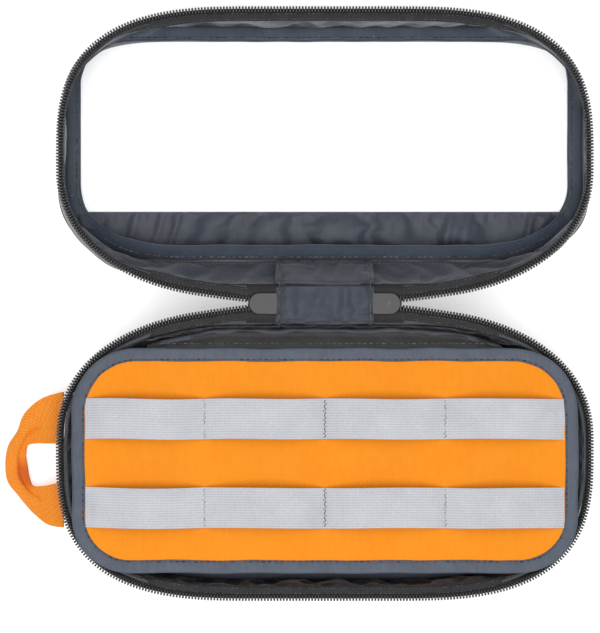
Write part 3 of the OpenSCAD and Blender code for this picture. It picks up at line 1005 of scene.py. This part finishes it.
# %% Flap
flap_x = np.linspace(-87.5, 87.5, 150)
flap_start = edges_at("rim", 9.4, flap_x)[0] + 0.3 + 0.3 * waves(flap_x[:, None], 40, 101)
flap_rows = []
for share in np.linspace(0, 1, 14):
    v = flap_start + (22.4 - flap_start) * share
    z = 26.0 + 2.35 * math.sin(share * math.pi / 2) + 0.9 * math.exp(-(((share - 0.2) / 0.1) ** 2))
    flap_rows.append(np.column_stack([flap_x, v, np.full_like(flap_x, z)]))
flap_rows = np.array(flap_rows)
flap_rows[..., 2] += 0.35 * waves(flap_rows[..., :2], 12, 102) * np.linspace(1, 0.2, 14)[:, None]
flap = grid("panel_flap", flap_rows, "base")
refine(thicken(flap, 0.5, 0))
dress(flap, black_lining, "black_lining", None, "panel_hinge_flap")
fold_rows = np.array([np.column_stack([flap_x, flap_start + 1.6 + 1.25 * math.cos(a) + 0.3
                                       * waves(flap_x[:, None], 14, 103),
                                       27.1 + 0.75 * math.sin(a) + 0.35 * waves(flap_x[:, None], 18, 104)])
                      for a in round_turn(8)])
flap_fold = grid("panel_flap_fold", fold_rows, "base", tube=True)
refine(flap_fold)
# The fold belongs to the flap's black lining; dressing it in the paler strip_lining paints a highlight along
# its lit edge.
dress(flap_fold, strip_lining, "black_lining", "base")
sewn_x = flap_x[np.abs(flap_x) < 82]
sewn_line = with_z(with_z(sewn_x[:, None], 19.6), 28.75)
flap_stitches = stitch_row("panel_flap_stitches", sewn_line, "base", 3.0)
dress(flap_stitches, dark_thread, "thread", "organizer_panel")

# %% Hinge strip
STRIP_COLS, STRIP_ROWS = 49, 56
strip_x = np.linspace(-23.2, 23.2, STRIP_COLS)
strip_v = np.linspace(-13.5, 22.0, STRIP_ROWS)


spots = np.array([corner.co for corner in lid_lining.data.vertices]) / MM
spots = spots[np.abs(spots[:, 0]) < 28]
wall_v = np.arange(8.0, 23.5, 1.0)
wall_top = np.array([spots[np.abs(spots[:, 1] - HINGE_Y - at) < 1.6, 2].max(initial=1.6) for at in wall_v])


def strip_height(v):
    """The strip's height: a shallow hammock over the hinge line, and down the wall on each side."""
    lid_side = np.minimum(28.3, np.interp(v - 0.8, wall_v, wall_top, left=28.3) + 1.6)
    base_side = 27.9 - np.clip(-v - 8.6, 0, None) * 2.0
    fold = -0.7 * np.exp(-(((v + 4.2) / 1.2) ** 2)) + 0.6 * np.exp(-(((v - 1) / 3) ** 2))
    return np.minimum(lid_side, base_side) + fold


strip_rows = np.array([np.column_stack([strip_x, np.full(STRIP_COLS, v),
                                        np.full(STRIP_COLS, strip_height(v))])
                       for v in strip_v])
strip_rows[..., 2] += 0.3 * waves(strip_rows * [1, 0.3, 0], 9, 111) * np.clip((strip_v + 4) / 12, 0.2,
                                                                              1)[:, None]
strip = grid("hinge_strip_cloth", strip_rows, "lid")
will_settle(strip, STRIP_ROWS, STRIP_COLS, 0.05, 1.3, sides=True)

outer_v = np.linspace(-8.5, 8.5, 20)
outer_rows = np.array([np.column_stack([strip_x * 0.96, np.full(STRIP_COLS, v),
                                        np.full(STRIP_COLS, 26.3 - 0.06 * v * v * (abs(v) > 4))])
                       for v in outer_v])
outer_strip = grid("hinge_strip_outer", outer_rows, "lid")

# %% Settle every lining at once
settle()
for cloth in (strip, outer_strip):
    refine(cloth)
dress(strip, strip_lining, "grey_lining", None, "hinge_strip_lining")
dress(outer_strip, outer_fabric, "outer_fabric", None, "hinge_strip_fabric")
for cloth in (strip, outer_strip):
    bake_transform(cloth)
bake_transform(flap)

# %% [markdown]
# The strip's long edges are turned in and stitched, which leaves a raised fold about 3 mm wide.

# %% Strip seams and zipper ends
for side, word in ((-1, "left"), (1, "right")):
    seam_v = np.linspace(-12.0, 21.5, 60)
    seam = []
    for offset, lift in [(-1.5, 0.1), (-1.2, 0.75), (-0.2, 0.95), (0.6, 0.55), (1.4, 0.7), (1.6, 0.1)]:
        seam.append(np.column_stack([side * (22.6 + offset) + 0.2 * waves(seam_v[:, None], 12, 121), seam_v,
                                     strip_height(seam_v) + lift]))
    seam_cloth = grid(f"strip_seam_{word}", np.array(seam), "lid")
    refine(seam_cloth)
    dress(seam_cloth, strip_lining, "grey_lining")
    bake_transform(seam_cloth)
    line = np.column_stack([np.full(60, side * 22.4), seam_v, strip_height(seam_v) + 1.0])
    seam_thread = stitch_row(f"strip_seam_stitches_{word}", line, "lid", 2.9, 2.2, 0.7, 0.45)
    dress(seam_thread, dark_thread, "thread")
    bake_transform(seam_thread)

end_tapes = {"base": [], "lid": []}
for side, word in ((-1, "left"), (1, "right")):
    for edge, label in ((1, "lid"), (-1, "base")):
        x = np.linspace(23.0, 38.6, 24)
        rows = []
        for across_share, z in [(0.0, 26.9), (0.0, 27.15), (0.5, 27.2), (1.0, 27.1), (1.0, 26.7),
                                (0.5, 26.7)]:
            v = edge * (1.4 + across_share * 8.0)
            rows.append(np.column_stack([side * x, np.full_like(x, v), np.full_like(x, z)]))
        piece = grid(f"zip_end_tape_{label}_{word}", np.array(rows), "lid", tube=True)
        dress(piece, zip_tape, "zip_tape", "hinge_strip", "zip_end_tapes")
        end_tapes[label].append(piece)
    closed = np.column_stack([side * np.arange(24.6, 37.5, 0.75), np.zeros(18), np.full(18, 26.75)])
    along, sideways, up = seam_axes(closed)
    flip = np.where(np.arange(18) % 2 == 0, 1, -1)[:, None]
    shape, faces = tooth_shape()
    shape = shape - [0, 0.4, 0]
    row = copies(f"zip_end_teeth_{word}", shape, faces, closed, along, sideways * flip, up, "lid")
    dress(row, zip_coil, "zip_coil", "hinge_strip", "zip_end_coils")
    tack_v = np.linspace(-2.6, 2.6, 9)
    tack = np.vstack([np.column_stack([np.full(9, side * tx), tack_v, np.full(9, 28.1)])
                      for tx in (24.1, 25.4)])
    shape, faces = stitch_shape(1.5, 0.5, 0.5)
    ones = np.tile([1.0, 0, 0], (len(tack), 1))
    bar = copies(f"zip_end_bar_tack_{word}", shape, faces, tack, ones, np.tile([0, 1.0, 0], (len(tack), 1)),
                 np.tile([0, 0, 1.0], (len(tack), 1)), "lid")
    dress(bar, grey_thread, "thread", "hinge_strip", "zip_end_stops")

# %% [markdown]
# ## Sliders and pull tabs
# These are hard parts, so the CAD shapes stay. A weld closes their split edges, a small bevel rounds
# them as casting and tumbling do, and the painted finish is worn through in random patches.

# %% Hard parts
for name in ("left_slider", "right_slider", "left_pull_tab", "right_pull_tab"):
    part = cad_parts[name]
    part.modifiers.new("weld", "WELD").merge_threshold = 0.00001
    edge = part.modifiers.new("edge", "BEVEL")
    edge.width, edge.segments, edge.limit_method, edge.angle_limit = 0.00022, 3, "ANGLE", math.radians(35)
    part.data.materials.clear()
    part.data.materials.append(zip_metal)

# %% [markdown]
# ## The handle
# The handle is one strip of webbing. Its ends are sewn flat into the wall, and the grip is folded
# lengthwise, so a crease runs along it and the inner half lies lower. The strip is lofted between
# its outer and inner edge, with the fold as a dip in its section. Over a stretch of the grip, the
# cloth past the crease is painted a darker orange: painted shade.


# %% Webbing
def smooth_line(points, count):
    """A smooth curve through points, at even steps."""
    points = np.asarray(points, float)
    along = np.concatenate([[0], np.cumsum(np.linalg.norm(np.diff(points, axis=0), axis=1))])
    slope = np.gradient(points, along, axis=0)
    at = np.linspace(0, along[-1], count)
    i = np.clip(np.searchsorted(along, at, side="right") - 1, 0, len(points) - 2)
    h = (along[i + 1] - along[i])[:, None]
    t = ((at - along[i]) / h[:, 0])[:, None]
    return ((2 * t**3 - 3 * t**2 + 1) * points[i] + (t**3 - 2 * t**2 + t) * h * slope[i]
            + (-2 * t**3 + 3 * t**2) * points[i + 1] + (t**3 - t**2) * h * slope[i + 1])


HANDLE_ROOT_X = -127.5
outer_edge = smooth_line([(-130.2, 43.9), (-132.4, 44.4), (-144.4, 49.2), (-150.4, 55.7), (-153.4, 64.3),
                          (-158.4, 71.9),
                          (-160, 80.6), (-158.8, 89.2), (-153.4, 95.7), (-144.4, 106.6), (-138.4, 110.9),
                          (-132.4, 112),
                          (-130.2, 112.1)], 110)
inner_edge = smooth_line([(-130.2, 69.9), (-132.4, 70.0), (-139, 70.2), (-145, 70.3), (-149.0, 71.2),
                          (-150.0, 76),
                          (-149.2, 82), (-148.2, 87.5), (-146.5, 91.4), (-142, 91.6), (-137, 90.6),
                          (-132.4, 89.3),
                          (-130.2, 89.0)], 110)
along_share = np.linspace(0, 1, 110)
grip = np.clip((np.sin(np.pi * along_share) - 0.45) * 3.2, 0, 1)
handle_rows = []
for share in np.linspace(0, 1, 25):
    edge_line = outer_edge + (inner_edge - outer_edge) * share
    droop = (edge_line[:, 0] - HANDLE_ROOT_X) * math.tan(math.radians(15))
    crease = -2.4 * np.exp(-(((share - 0.55) / 0.07) ** 2)) * grip
    crown = 1.5 * math.sin(math.pi * min(1, share / 0.55)) * grip if share < 0.55 else 0.2 * grip
    low_half = -0.9 * grip * (share > 0.55)
    handle_rows.append(with_z(edge_line, 10.8 + droop + crease + crown + low_half))
handle_rows = np.array(handle_rows)
handle_rows[..., 2] += 0.35 * waves(handle_rows[..., :2], 17, 131)
handle = grid("handle_strap", handle_rows, "base")
refine(thicken(handle, 1.8))
dress(handle, orange_webbing, "orange_webbing", "handle", "handle_webbing")
for number, v in enumerate((51.0, 105.0)):
    tack_x = np.linspace(-143, -133, 8)
    tack_v = np.linspace(v + 3, v - 1, 8) if number == 0 else np.linspace(v - 4, v + 1, 8)
    tack_path = np.column_stack([tack_x, tack_v, 11.9 + (tack_x - HANDLE_ROOT_X) * 0.268])
    tacks = stitch_row(f"handle_stitches_{number}", tack_path, "base", 3.2, 2.2, 0.5, 0.4)
    dress(tacks, amber_thread, "thread", "handle")

# %% [markdown]
# ## Studio
# A pale floor, a broad soft light above and a bright, even surround leave only faint shadows, as on a
# white sweep. The camera looks straight down from 0.87 m above the rims.


# %% Floor, light and camera
LIT_PLACE = Vector((0, 0.074, 0.02))
LAMPS = (("key", (-0.1, -0.5, 1.5), 1.2, 15.5), ("fill", (0.2, 0.75, 1.5), 1.4, 8.0))


def studio():
    far = 1500
    floor = grid("floor", [[(-far, v, 0), (far, v, 0)] for v in (-far, far)], "lid", planar=True)
    f = Finish("floor", Specular_IOR_Level=0.1, Emission_Color=(1, 1, 1, 1), Emission_Strength=0.42)
    floor.data.materials.append(f.done(srgb(252, 252, 253), f.noise(400, 1) * 0.1 + 0.8))
    world = bpy.data.worlds.new("surround")
    scene.world = world
    world.use_nodes = True
    sky = world.node_tree.nodes["Background"].inputs
    sky["Color"].default_value, sky["Strength"].default_value = (1, 1, 1, 1), 0.38
    for name, place, size, power in LAMPS:
        lamp = bpy.data.lights.new(name, "AREA")
        lamp.size, lamp.energy = size, power
        holder = bpy.data.objects.new(name, lamp)
        holder.location = place
        holder.rotation_euler = (holder.location - LIT_PLACE).to_track_quat("Z", "Y").to_euler()
        scene.collection.objects.link(holder)
    scene.view_settings.view_transform = "Standard"


studio()
eye = bpy.data.cameras.new("camera")
eye.sensor_width = 36
eye.lens = 101
camera = bpy.data.objects.new("camera", eye)
camera.location = (-0.0122, 0.0679, 0.90)
scene.collection.objects.link(camera)
scene.camera = camera
